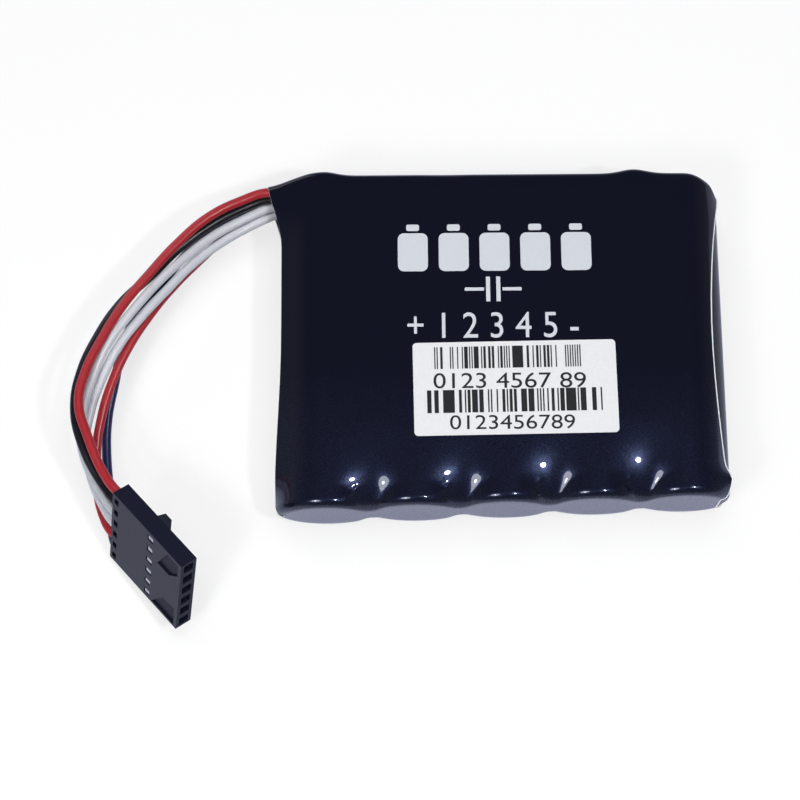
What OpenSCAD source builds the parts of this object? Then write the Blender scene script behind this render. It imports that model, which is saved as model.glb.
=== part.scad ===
// Five-cell capacitor backup pack for a storage controller card.
// Five round cells lie side by side in one film sleeve, are joined by a small
// board behind them, and end in six loose wires with a 2.54 mm pitch connector.
// Origin: centre of the underside of the row. +X along the row, +Y to the wires.

/* [Cells] */
// Outer diameter of one jacketed cell
cell_d = 13; // [12.8:0.05:13.2]
// Length of one jacketed cell
cell_len = 44; // [43:0.1:44.2]
// Gap between neighbouring cells
cell_gap = 0.05; // [0.02:0.01:0.1]
// How much further back each cell sits than the one on its left
cell_step = 0.35; // [0:0.05:0.4]
// Thickness of a cell's own plastic jacket
jacket_t = 0.1; // [0.08:0.01:0.15]
// Lead wire diameter
lead_d = 0.8; // [0.6:0.05:0.9]
// Distance between the two leads of one cell
lead_pitch = 5; // [4.5:0.1:5.5]

/* [Film sleeve] */
// Film thickness after shrinking
film_t = 0.15; // [0.12:0.01:0.2]
// Clearance between the film and the cells
film_gap = 0.05; // [0.04:0.01:0.08]
// Angle from the crown to the cut edge on the wire side
left_reach = 78; // [70:1:84]
// Angle from the crown to the cut edge on the plain side
right_reach = 53; // [50:1:70]
// Length of the folds between cells behind the front rim
fold_len = 6.2; // [5:0.1:8.6]

/* [Label] */
// Label length along the row
label_w = 29.4; // [25:0.1:35]
// Label height along the cells
label_h = 13.9; // [10:0.1:16]
// Paper thickness
label_t = 0.1; // [0.08:0.01:0.2]
// Small turn of the label on the pack, in degrees
label_turn = 0.7; // [-2:0.1:2]

/* [Connector] */
// Contact pitch
pitch = 2.54; // [2.54:0.01:2.54]
// Number of contacts
ways = 6; // [6:1:6]
// Housing length from the wire end to the mating end
housing_l = 15.9; // [15:0.1:17]
// Housing thickness
housing_t = 2.7; // [2.6:0.1:3]

/* [Wires] */
// Outer diameter of the wire insulation
wire_d = 1.4; // [1.3:0.05:1.4]

/* [Hidden] */

cell_count = 5;
cell_pitch = cell_d + cell_gap;
film_r = cell_d / 2 + film_gap + film_t;      // outer radius of the film round a cell
axis_z = film_r;                              // height of the cell axes
half_row = (cell_count - 1) / 2 * cell_pitch; // axis of the last cell
cells_front = -24.6;                          // bottom face of the middle cell
can_r = cell_d / 2 - jacket_t;
can_len = cell_len - 2 * jacket_t;
edge_r = 1.1;                                 // rounding of the can's bottom edge
lip_r = 0.6;                                  // rounding of its curled lip
mouth_r = can_r - 1;                          // inside of the curled can lip
bung_deep = 2.2;                              // the can's mouth, filled by the bung
board_front = 20.5;
board_t = 1;
board_back = board_front + board_t;
board_w = 62;
board_h = 11.6;
corner_r = 3;
lead_back = board_back + 1.6;                 // cut ends of the leads
card_t = 0.3;
housing_w = pitch * ways;
housing_at = [-50.9, -31.8, 9.3];             // middle of the connector
housing_turn = [-23, -14, -48];
cavity = 1.9;                                 // square passage behind each contact
crimp_x = -housing_l / 2 + 1.8;               // each wire ends here, at its crimp
wire_start_x = -board_w / 2;

function cell_x(i) = (i - (cell_count - 1) / 2) * cell_pitch;
function cell_y(i) = (i - (cell_count - 1) / 2) * cell_step;
function contact_z(i) = ((ways - 1) / 2 - i) * pitch;
function mix(a, b, t) = a + (b - a) * t;
function smooth(t) = let (u = min(max(t, 0), 1)) u * u * (3 - 2 * u);
function bell(t) = exp(-t * t);
function unit(v) = v / norm(v);
// Points of an arc round [cx, cy]
function arc(cx, cy, r, from, to, steps) =
    [for (k = [0:steps]) let (a = mix(from, to, k / steps)) [cx + r * cos(a), cy + r * sin(a)]];

// ---- Film sleeve: a shrunk tube round the row, open at its two ends ----
// The film's surface is a grid. Columns run along the row, and each column is a
// closed loop of stations round the front, top, back and underside.
rim_r = 1.3;                                  // bend over the front rim
valley_h = 2.6;                               // half height at the front of a fold
back_r = 1.2;                                 // bend over the back edge
back_h = 6.3;                                 // half height of the pack at the back
ring_n = 6;                                   // columns from a crown to a fold or cut edge
fold_a = asin(cell_pitch / 2 / film_r);       // from a crown to the fold beside it
mouth_x = 8.7;                                // wire mouth, out from the first cell's axis
left_cols = [for (k = [ring_n:-1:1]) [0, -k / ring_n, true]];
right_cols = [for (k = [1:ring_n]) [cell_count - 1, k / ring_n, true]];
mid_cols = [for (i = [0:cell_count - 1])
    for (k = [(i == 0 ? 0 : 1 - ring_n):(i == cell_count - 1 ? 0 : ring_n)])
        [i, k / ring_n, false]];
cols = concat(left_cols, mid_cols, right_cols);
// Stations from the middle of the front to the middle of the back: [zone, place]
stations = concat([[0, 0]],
    [for (a = [0:30:90]) [1, a]],
    [for (d = [0.12, 0.27, 0.45, 0.68, 1]) [2, d]],
    [[3, -10], [3, 2], [3, 13], [3, 17.5], [3, 20.8]],
    [for (a = [90:-30:0]) [4, a]],
    [[5, 0]]);

function reach(side, y) = let (e = pow(abs(y) / 25, 2))
    side < 0 ? left_reach + 5 * e
    : right_reach + (y > 0 ? 16 : 7) * e + 14 * smooth((y - 18) / 5);
// How far a column belongs to the wire mouth
function mouth(side, y) = side < 0 ? pow(smooth((y - 14) / 11), 1.3) : 0;
// How far the cut edge stands off the cell: most near the front
function ear(side, y) = side < 0 ? 0.68 * smooth(-y / 22)
    : 0.65 * bell((y + 21.4) / 1.4) + 0.15 * bell((y - 20) / 4);
function front_y(c) = let (fold = c[2] ? 0 : sign(c[1]) * 0.5 * smooth(2 * abs(c[1]) - 1))
    cells_front + cell_y(c[0] + fold) - film_gap - film_t;
function back_y(x) = 25.15 + 0.6 * bell((x + 26.3) / 2.4) + 0.65 * bell((x - 19.8) / 2.6)
    - 1.15 * smooth((-27.5 - x) / 5) - smooth((x - 27) / 4) - 1.3 * smooth((x - 30) / 2.1);
function column_x(c, y, inset) = c[2]
    ? let (side = c[1] < 0 ? -1 : 1, t = abs(c[1]),
          hug = (film_r - inset) * sin(reach(side, y) * t) + ear(side, y) * pow(t, 3))
      side * (half_row + mix(hug, mouth_x * t, mouth(side, y)))
    : cell_x(c[0]) + film_r * sin(fold_a * c[1]);
// Half height of the film along the crowns, on the flanks and on the flat top
function crown_h(y) = mix(film_r, back_h, smooth((y - 20) / 4));
function flank_h(c, y, up, inset) =
    let (side = c[1] < 0 ? -1 : 1, t = abs(c[1]),
         hug = (mix(crown_h(y), film_r, smooth(2 * t)) - inset) * cos(reach(side, y) * t)
             + (side > 0 ? 1.2 * ear(side, y) * pow(t, 3) : 0),
         open = up > 0 ? mix(crown_h(y), 4.85, pow(t, 1.6)) : mix(crown_h(y), 3.3, pow(t, 1.9)))
    mix(hug, open, mouth(side, y));
// Film stretched over two cells: an arc on each, and a hollow one between them that
// is h high at its lowest, and wider the higher it lies
function bridge_h(d, h) =
    let (half = cell_pitch / 2, dip = min(h, film_r - 0.002),
         r = (dip * dip + half * half - film_r * film_r) / (2 * (film_r - dip)))
    d * (film_r + r) < film_r * half ? sqrt(film_r * film_r - d * d)
    : dip + r - sqrt(r * r - (half - d) * (half - d));
function film_y(c, s) = let (zone = s[0], v = s[1], y0 = front_y(c),
        y1 = back_y(c[2] ? sign(c[1]) * (half_row + 6 * abs(c[1])) : cell_x(c[0])
            + film_r * sin(fold_a * c[1])))
    zone == 0 ? y0
    : zone == 1 ? y0 + rim_r * (1 - cos(v))
    : zone == 2 ? y0 + rim_r + fold_len * v
    : zone == 3 ? v
    : zone == 4 ? y1 - back_r * (1 - cos(v))
    : y1;
// Round the rims the film draws in: towards the axis of an end cell, and straight
// down between the cells and at the wire mouth
function film_point(c, s, up) =
    let (zone = s[0], v = s[1], y = film_y(c, s), level = zone == 0 || zone == 5 ? 0 : 1,
         inset = zone < 2 ? rim_r * (1 - sin(v)) : zone > 3 ? back_r * (1 - sin(v)) : 0,
         round = c[2] && (c[1] > 0 || y < 0),
         rise = zone == 2 ? 1 - v : 1,
         h = round ? flank_h(c, y, up, inset)
             : (c[2] ? flank_h(c, y, up, 0)
                : zone > 2 ? crown_h(y)
                : bridge_h(film_r * sin(fold_a * abs(c[1])),
                    mix(film_r, valley_h, pow(rise, 2.2)))) - inset)
    [column_x(c, y, round ? inset : 0), y, axis_z + up * h * level];

module shrink_sleeve() {
    n = len(stations);
    loop_n = 2 * n - 2;
    col_n = len(cols);
    outer = [for (c = cols) concat(
        [for (k = [0:n - 1]) film_point(c, stations[k], 1)],
        [for (k = [n - 2:-1:1]) film_point(c, stations[k], -1)])];
    // The inner face lies one film thickness inside, along the surface normal
    inner = [for (j = [0:col_n - 1]) [for (k = [0:loop_n - 1])
        let (along = outer[min(j + 1, col_n - 1)][k] - outer[max(j - 1, 0)][k],
             round = outer[j][(k + 1) % loop_n] - outer[j][(k + loop_n - 1) % loop_n])
        outer[j][k] - film_t * unit(cross(along, round))]];
    points = concat([for (c = outer) for (p = c) p], [for (c = inner) for (p = c) p]);
    far = col_n * loop_n;
    faces = concat(
        [for (j = [0:col_n - 2]) for (k = [0:loop_n - 1])
            let (a = j * loop_n + k, b = j * loop_n + (k + 1) % loop_n,
                 c = b + loop_n, d = a + loop_n)
            each [[a, b, c], [a, c, d], [far + a, far + c, far + b], [far + a, far + d, far + c]]],
        [for (j = [0, col_n - 1]) for (k = [0:loop_n - 1])
            let (a = j * loop_n + k, b = j * loop_n + (k + 1) % loop_n)
            each j == 0 ? [[a, far + a, far + b], [a, far + b, b]]
                        : [[a, far + b, far + a], [a, b, far + b]]]);
    color("#14151f") polyhedron(points, faces);
}

module label() {
    color("#e9e9e6")
    translate([1.4, -8.2, 2 * film_r]) rotate([0, 0, label_turn])
        linear_extrude(label_t) rounded(-label_w / 2, label_w / 2, label_h, 0.6);
}

// ---- Cells: turned shapes, drawn upright and laid along +Y ----
module lay_cell(i) {
    translate([cell_x(i), cells_front + cell_y(i), axis_z]) rotate([-90, 0, 0]) children();
}

module cell_can(i) {
    groove = 0.5;
    top = can_len;
    color("#b9bcc0") lay_cell(i) translate([0, 0, jacket_t])
        rotate_extrude($fn = 72) polygon(concat(
            [[0, 0]],
            arc(can_r - edge_r, edge_r, edge_r, -90, 0, 4),
            [[can_r, top - 4], [can_r - groove, top - 3.5], [can_r - groove, top - 3.1],
             [can_r, top - 2.6]],
            arc(can_r - lip_r, top - lip_r, lip_r, 0, 90, 4),
            [[mouth_r, top], [mouth_r, top - bung_deep], [0, top - bung_deep]]));
}

module cell_jacket(i) {
    lip = 1.8;
    r = can_r + jacket_t;
    bend = edge_r + jacket_t;
    fold = lip_r + jacket_t;
    top = cell_len;
    color("#1c1e2c") lay_cell(i) rotate_extrude($fn = 72) polygon(concat(
        [[r - lip, 0]],
        arc(r - bend, bend, bend, -90, 0, 4),
        arc(r - fold, top - fold, fold, 0, 90, 4),
        [[r - lip, top], [r - lip, top - jacket_t]],
        arc(r - fold, top - fold, lip_r, 90, 0, 4),
        arc(r - bend, bend, edge_r, 0, -90, 4),
        [[r - lip, jacket_t]]));
}

module cell_bung(i) {
    floor_z = jacket_t + can_len - bung_deep;
    color("#2b2b2d") lay_cell(i) difference() {
        union() {
            translate([0, 0, floor_z]) cylinder(r = mouth_r, h = bung_deep - 0.6, $fn = 72);
            for (s = [-1, 1]) translate([0, s * lead_pitch / 2, floor_z])
                cylinder(r = 1.1, h = bung_deep - 0.2, $fn = 32);
        }
        for (s = [-1, 1]) translate([0, s * lead_pitch / 2, floor_z - 1])
            cylinder(d = lead_d, h = bung_deep + 2, $fn = 32);
    }
}

// The poles swap from cell to cell, so that short tracks join them in series
module lead(i, pole) {
    up = pole * (i % 2 == 0 ? 1 : -1);
    floor_y = cells_front + cell_y(i) + jacket_t + can_len - bung_deep;
    translate([cell_x(i), floor_y, axis_z + up * lead_pitch / 2])
        rotate([-90, 0, 0]) cylinder(d = lead_d, h = lead_back - floor_y, $fn = 32);
}

module positive_lead(i) { color("#c9cacc") lead(i, 1); }
module negative_lead(i) { color("#c9cacc") lead(i, -1); }

module each_lead_place(y) {
    for (i = [0:cell_count - 1], s = [-1, 1])
        translate([cell_x(i), y, axis_z + s * lead_pitch / 2]) rotate([-90, 0, 0]) children();
}

module rounded(x0, x1, h, r) {
    for (x = [x0 + r, x1 - r], y = [r - h / 2, h / 2 - r]) translate([x, y]) circle(r, $fn = 48);
    translate([x0 + r, -h / 2]) square([x1 - x0 - 2 * r, h]);
    translate([x0, r - h / 2]) square([x1 - x0, h - 2 * r]);
}

module upright_plate(x0, x1, h, y, t, r) {
    translate([0, y + t, axis_z]) rotate([90, 0, 0]) linear_extrude(t) rounded(x0, x1, h, r);
}

module interconnect_board() {
    color("#1f5a3a") difference() {
        upright_plate(-board_w / 2, board_w / 2, board_h, board_front, board_t, corner_r);
        each_lead_place(board_front - 1) cylinder(d = lead_d + 0.3, h = board_t + 2, $fn = 32);
    }
}

module lead_joints() {
    color("#a9acb0") each_lead_place(board_back) rotate_extrude($fn = 32) polygon(
        [[lead_d / 2, 0], [1.1, 0], [0.8, 0.25], [0.6, 0.6], [0.5, 1], [lead_d / 2, 1]]);
}

module wire_joints() {
    reach = 1.5;
    color("#a9acb0") for (route = routes) let (p = route[0]) {
        translate(p) rotate([0, 90, 0]) cylinder(d = 0.7, h = reach, $fn = 24);
        translate([p[0] + reach, board_back, p[2]]) rotate([-90, 0, 0])
            cylinder(r1 = 0.75, r2 = 0.45, h = 1.15, $fn = 32);
    }
}

module insulator_card() {
    color("#d9d3c0")
        upright_plate(-28.5, board_w / 2 - 0.5, board_h, lead_back, card_t, corner_r);
}

// ---- Wires: each one is swept along its own route, from the board to its crimp ----
function in_housing(x, z) = housing_at + turn_point(housing_turn, [x, 0, z]);
function turn_point(a, p) =
    let (x = [p[0], p[1] * cos(a[0]) - p[2] * sin(a[0]), p[1] * sin(a[0]) + p[2] * cos(a[0])],
         y = [x[0] * cos(a[1]) + x[2] * sin(a[1]), x[1], -x[0] * sin(a[1]) + x[2] * cos(a[1])])
    [y[0] * cos(a[2]) - y[1] * sin(a[2]), y[0] * sin(a[2]) + y[1] * cos(a[2]), y[2]];
// The last stretch of a wire runs straight into its cavity
function plug_end(i, before) =
    [in_housing(-housing_l / 2 - before, contact_z(i)), in_housing(crimp_x, contact_z(i))];

// Route of each wire: round numbers, chosen by hand. The list order is the contact order.
routes = [
    concat([[wire_start_x, 22.2, 10.9], [-34.5, 23.25, 10.2], [-38.9, 21.9, 10.2],
        [-43.6, 19.3, 10.5], [-48.0, 15.2, 10.8], [-52.0, 10.4, 11.1], [-55.9, 5.2, 11.5],
        [-58.8, -0.1, 11.9], [-60.8, -4.7, 12.2], [-61.7, -9.6, 12.4], [-60.3, -14.5, 12.4]],
        plug_end(0, 3)),
    concat([[wire_start_x, 22.2, 9.3], [-34.5, 22.65, 8.85], [-38.7, 21.2, 8.9],
        [-43.3, 18.7, 8.9], [-47.9, 15.1, 9.0], [-52.0, 10.6, 9.5], [-56.5, 5.9, 10.0],
        [-59.8, 0.4, 10.4], [-61.8, -4.6, 10.6], [-62.5, -9.4, 10.8], [-61.6, -14.5, 10.7]],
        plug_end(1, 3)),
    concat([[wire_start_x, 22.2, 7.7], [-34.5, 21.7, 7.8], [-38.3, 20.0, 7.8],
        [-42.9, 17.2, 8.3], [-46.9, 13.6, 9.2], [-50.6, 9.6, 10.2], [-54.5, 4.6, 10.9],
        [-58.1, -0.5, 10.7], [-60.2, -5.3, 10.0], [-61.4, -9.7, 9.4], [-61.8, -14.3, 8.8]],
        plug_end(2, 3)),
    concat([[wire_start_x, 22.2, 6.1], [-34.5, 20.7, 6.7], [-38.1, 18.9, 6.8],
        [-42.2, 16.2, 7.3], [-46.2, 12.7, 8.0], [-49.9, 8.4, 8.7], [-53.4, 4.2, 9.2],
        [-56.7, -0.4, 9.2], [-59.1, -5.2, 8.5], [-60.7, -9.8, 7.6], [-61.3, -14.6, 6.9]],
        plug_end(3, 3)),
    concat([[wire_start_x, 22.2, 2.7], [-34.5, 21.3, 5.35], [-37.9, 20.1, 5.2],
        [-42.0, 17.3, 5.6], [-45.6, 13.6, 6.3], [-49.3, 9.3, 7.0], [-52.3, 5.1, 7.5],
        [-55.3, 0.1, 7.7], [-57.7, -5.3, 7.3], [-59.2, -10.5, 6.6], [-59.9, -15.8, 5.5]],
        plug_end(4, 3)),
    concat([[wire_start_x, 22.2, 4.5], [-34.5, 22.9, 6.2], [-38.5, 21.5, 6.4],
        [-43.0, 18.8, 6.3], [-47.1, 14.9, 6.7], [-50.7, 10.1, 7.2], [-53.7, 6.1, 7.1],
        [-56.3, 1.2, 6.1], [-57.6, -4.9, 5.3], [-58.6, -10.2, 4.4], [-58.7, -15.8, 3.4],
        [-57.9, -23.1, 2.3]],
        plug_end(5, 0.6))];

module wire(route) {
    n = len(route);
    sides = 8;
    function heading(k) = k == 0 ? [-1, 0, 0]
        : k == n - 1 ? unit(route[k] - route[k - 1])
        : unit(unit(route[k + 1] - route[k]) + unit(route[k] - route[k - 1]));
    points = [for (k = [0:n - 1]) let (t = heading(k), u = unit(cross(t, [0, 0, 1])), v = cross(u, t))
        for (s = [0:sides - 1]) let (a = (s + 0.5) * 360 / sides)
            route[k] + wire_d / 2 * (cos(a) * u + sin(a) * v)];
    polyhedron(points, concat(
        [[for (s = [sides - 1:-1:0]) s]],
        [[for (s = [0:sides - 1]) (n - 1) * sides + s]],
        [for (k = [0:n - 2]) for (s = [0:sides - 1])
            let (a = k * sides + s, b = k * sides + (s + 1) % sides)
            each [[a, b, b + sides], [a, b + sides, a + sides]]]));
}

module red_wire() { color("#c8323c") wire(routes[0]); }
module black_wire() { color("#1d1b26") wire(routes[1]); }
module white_wire_1() { color("#d9dcdf") wire(routes[2]); }
module white_wire_2() { color("#d9dcdf") wire(routes[3]); }
module red_wire_2() { color("#c8323c") wire(routes[4]); }
module blue_wire() { color("#22285a") wire(routes[5]); }

// ---- Connector: drawn lying along +X with its contacts in a row along Z ----
module in_connector() {
    translate(housing_at) rotate(housing_turn) children();
}

module contact_rows() {
    for (i = [0:ways - 1]) translate([0, 0, contact_z(i)]) children();
}

module connector_housing() {
    half = housing_l / 2;
    wall_y = -housing_t / 2;
    color("#2b2b33") in_connector() difference() {
        union() {
            translate([-half, wall_y, -housing_w / 2]) cube([housing_l, housing_t, housing_w]);
            // Polarising rib on the narrow side
            translate([0.2, -0.3, housing_w / 2]) rotate([-90, 0, 0]) mirror([0, 1, 0])
                linear_extrude(1.3) polygon([[0, 0], [0.5, 1.3], [2.2, 1.3], [2.6, 0.9], [2.6, 0]]);
        }
        contact_rows() {
            translate([-half - 1, -cavity / 2, -cavity / 2]) cube([housing_l - 0.9, cavity, cavity]);
            translate([half - 2, -0.5, -0.5]) cube([3, 1, 1]);
            // Latch window, and the notch over the crimp
            translate([0.3, wall_y - 1, -0.55]) cube([1.3, 1.8, 1.1]);
            translate([-half + 0.5, wall_y - 1, -0.6]) cube([0.9, 1.8, 1.2]);
        }
        // Finger recesses at the mating end
        for (s = [-1, 1]) translate([half - 4, wall_y - 1, s * (housing_w / 2 - 1.9) - 1.3])
            cube([3.3, 1.25, 2.6]);
    }
}

// Crimp terminal: rolled barrel on the wire, neck, and a box that takes the pin
module terminal(i) {
    box_x = -0.9;
    box_l = 6.9;
    wide = cavity - 0.2;
    skin = 0.2;
    floor_y = -cavity / 2;
    color("#c7a75a") in_connector() translate([0, 0, contact_z(i)]) {
        translate([crimp_x, 0, 0]) rotate([0, 90, 0]) for (s = [-1, 1]) translate([s * 0.35, 0, 0])
            cylinder(r = 0.45, h = 2.4, $fn = 24);
        translate([crimp_x + 0.4, floor_y + 0.1, -0.55]) cube([1.6, cavity / 2 - 0.3, 1.1]);
        translate([crimp_x, floor_y, 0.05 - wide / 2]) cube([box_x - crimp_x + 0.5, skin, wide - 0.1]);
        difference() {
            translate([box_x, floor_y, -wide / 2]) cube([box_l, cavity, wide]);
            translate([box_x - 1, floor_y + skin, skin - wide / 2])
                cube([box_l + 2, cavity - 2 * skin, wide - 2 * skin]);
        }
        // Latch tang, standing in the window
        translate([0.45, floor_y - 0.3, -0.4]) cube([1, 0.35, 0.8]);
    }
}

shrink_sleeve();
label();
cell_can(0);  // cell_can_1
cell_can(1);  // cell_can_2
cell_can(2);  // cell_can_3
cell_can(3);  // cell_can_4
cell_can(4);  // cell_can_5
cell_jacket(0);  // cell_jacket_1
cell_jacket(1);  // cell_jacket_2
cell_jacket(2);  // cell_jacket_3
cell_jacket(3);  // cell_jacket_4
cell_jacket(4);  // cell_jacket_5
cell_bung(0);  // cell_bung_1
cell_bung(1);  // cell_bung_2
cell_bung(2);  // cell_bung_3
cell_bung(3);  // cell_bung_4
cell_bung(4);  // cell_bung_5
positive_lead(0);  // positive_lead_1
positive_lead(1);  // positive_lead_2
positive_lead(2);  // positive_lead_3
positive_lead(3);  // positive_lead_4
positive_lead(4);  // positive_lead_5
negative_lead(0);  // negative_lead_1
negative_lead(1);  // negative_lead_2
negative_lead(2);  // negative_lead_3
negative_lead(3);  // negative_lead_4
negative_lead(4);  // negative_lead_5
interconnect_board();
lead_joints();
wire_joints();
insulator_card();
red_wire();
black_wire();
white_wire_1();
white_wire_2();
red_wire_2();
blue_wire();
connector_housing();
terminal(0);  // terminal_1
terminal(1);  // terminal_2
terminal(2);  // terminal_3
terminal(3);  // terminal_4
terminal(4);  // terminal_5
terminal(5);  // terminal_6
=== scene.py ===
# %% [markdown]
# # A backup pack of five round cells
# The object is a flat pack for a storage controller. Five round capacitor cells lie
# side by side in one dark shrink sleeve, and six thin wires run from one corner to a
# slim connector. The construction is already made and packed, so this lesson only
# gives it its looks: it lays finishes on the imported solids, and makes finer pieces
# in the places where a finish alone isn't enough.

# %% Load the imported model
import math

import bmesh
import bpy
from mathutils import Euler, Matrix, Vector


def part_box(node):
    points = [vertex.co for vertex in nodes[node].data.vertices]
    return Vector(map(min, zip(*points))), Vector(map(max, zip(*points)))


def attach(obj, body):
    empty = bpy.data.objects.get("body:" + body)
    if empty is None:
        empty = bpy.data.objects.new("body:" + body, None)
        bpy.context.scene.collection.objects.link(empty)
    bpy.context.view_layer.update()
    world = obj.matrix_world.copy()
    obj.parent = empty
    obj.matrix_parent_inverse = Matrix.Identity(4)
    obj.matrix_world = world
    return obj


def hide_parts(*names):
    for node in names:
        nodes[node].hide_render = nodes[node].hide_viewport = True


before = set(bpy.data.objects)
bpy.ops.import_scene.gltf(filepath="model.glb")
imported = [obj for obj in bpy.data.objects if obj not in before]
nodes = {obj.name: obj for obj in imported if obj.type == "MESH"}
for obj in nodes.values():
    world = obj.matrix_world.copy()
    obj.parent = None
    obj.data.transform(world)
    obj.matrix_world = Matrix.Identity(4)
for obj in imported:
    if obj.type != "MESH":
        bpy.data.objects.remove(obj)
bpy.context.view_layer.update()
MM = 0.001
print("packed nodes:", len(nodes))

# %% [markdown]
# ## Camera
# The pack is seen from above and a little in front, from about 30 cm, through a lens
# that is long for such a small object. A camera can be turned with three angles, but
# its three own axes are easier to read: the way it looks back, its right and its up.

# %% Camera
aim = Vector((-15.25, -8.14, 6.7)) * MM
distance = 296.5 * MM
elevation = math.radians(74.95)
roll = math.radians(-0.45)

back = Vector((0, -math.cos(elevation), math.sin(elevation)))
right = Vector((1, 0, 0))
up = back.cross(right)
tilted_right = right * math.cos(roll) + up * math.sin(roll)
tilted_up = up * math.cos(roll) - right * math.sin(roll)

camera = bpy.data.objects.new("camera", bpy.data.cameras.new("camera"))
camera.data.sensor_width = 36
camera.data.lens = 90.52
camera.data.clip_start = 0.01
camera.matrix_world = Matrix.Translation(aim + back * distance) @ Matrix(
    (tilted_right, tilted_up, back)).transposed().to_4x4()
bpy.context.scene.collection.objects.link(camera)
bpy.context.scene.camera = camera
bpy.context.scene.view_settings.view_transform = "Standard"
print("camera at", [round(c / MM, 1) for c in camera.location], "mm")

# %% [markdown]
# ## Two small helpers
# Colours are written as sRGB hex values, because that is how a colour chart gives
# them. Shader sockets want linear light, so one function turns one into the other.
# A second function adds any node, sets it up and links it in one line.

# %% Helpers for colours and nodes
def linear(hex_colour):
    """An sRGB hex value as linear red, green, blue and alpha."""
    def channel(c):
        """One channel, from 0 to 1, without the curve that sRGB puts on it."""
        return c / 12.92 if c <= 0.04045 else ((c + 0.055) / 1.055) ** 2.4
    return [channel(int(hex_colour[i:i + 2], 16) / 255) for i in (1, 3, 5)] + [1]


def add(tree, kind, inputs=None, **settings):
    """Adds a node. inputs gives a socket's value, or the output to link to it."""
    node = tree.nodes.new(kind)
    for name, value in settings.items():
        setattr(node, name, value)
    for name, value in (inputs or {}).items():
        if isinstance(value, bpy.types.NodeSocket):
            tree.links.new(value, node.inputs[name])
        else:
            node.inputs[name].default_value = value
    return node


def material(name):
    """A new material with a Principled shader, ready for its values."""
    made = bpy.data.materials.new(name)
    made.use_nodes = True
    return made, made.node_tree, made.node_tree.nodes["Principled BSDF"]


def set_values(shader, **values):
    """Sets the shader's own sockets: Base_Color stands for "Base Color"."""
    for name, value in values.items():
        shader.inputs[name.replace("_", " ")].default_value = value


pure_red = linear("#FF0000")
print("#FF0000 in linear light:", pure_red)

# %% [markdown]
# ## A grain for every surface
# No real surface is perfectly flat: a mould is etched, a drawn or rolled face has fine
# lines, a skin follows what lies under it. An image could give that relief, but noise
# needs no file and keeps its true size on every piece, because it reads Object
# coordinates, which here are metres. Most real grains are some hundredths of a
# millimetre and too fine to show, so each is drawn as coarse as it needs to be seen.

# %% Helper for grain
def grain(tree, shader, size_mm, height_mm):
    """Bump from noise whose lumps are size_mm across. Gives the noise node back."""
    place = add(tree, "ShaderNodeTexCoord").outputs["Object"]
    noise = add(tree, "ShaderNodeTexNoise",
                {"Vector": place, "Scale": 1 / (size_mm * MM), "Detail": 3})
    bump = add(tree, "ShaderNodeBump", {"Height": noise.outputs["Fac"],
                                        "Distance": height_mm * MM, "Strength": 1.0})
    tree.links.new(bump.outputs["Normal"], shader.inputs["Normal"])
    return noise


print("a grain of 0.5 mm has a noise scale of", 1 / (0.5 * MM))

# %% [markdown]
# ## Six wires
# Each wire has stranded copper in a PVC skin, 1.4 mm across. It is stiff enough to
# hold a bow in the air, and it is pinned at both ends, on the board and in its crimp.
# A simulated cord would sag away from this bow, which the real one got when it was
# fitted. A curve with a round bevel suits it: the points of its route stay few, and the
# handles between them make one smooth line. The routes are those of the solids.

# %% Where the connector sits: its own x runs to the mating end, its z along the row
housing_l, pitch, ways = 15.9, 2.54, 6
half_l = housing_l / 2
housing_at = Vector((-50.9, -31.8, 9.3))
housing_turn = Euler([math.radians(a) for a in (-23, -14, -48)]).to_matrix()
crimp_x = 1.8 - half_l
contacts = [(k - (ways - 1) / 2) * pitch for k in range(ways)]


def in_housing(x, y, z):
    """A point of the connector's own frame, in mm, in the shared frame."""
    return housing_at + housing_turn @ Vector((x, y, z))


print("mating end at", [round(c, 1) for c in in_housing(half_l, 0, 0)], "mm")

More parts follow.
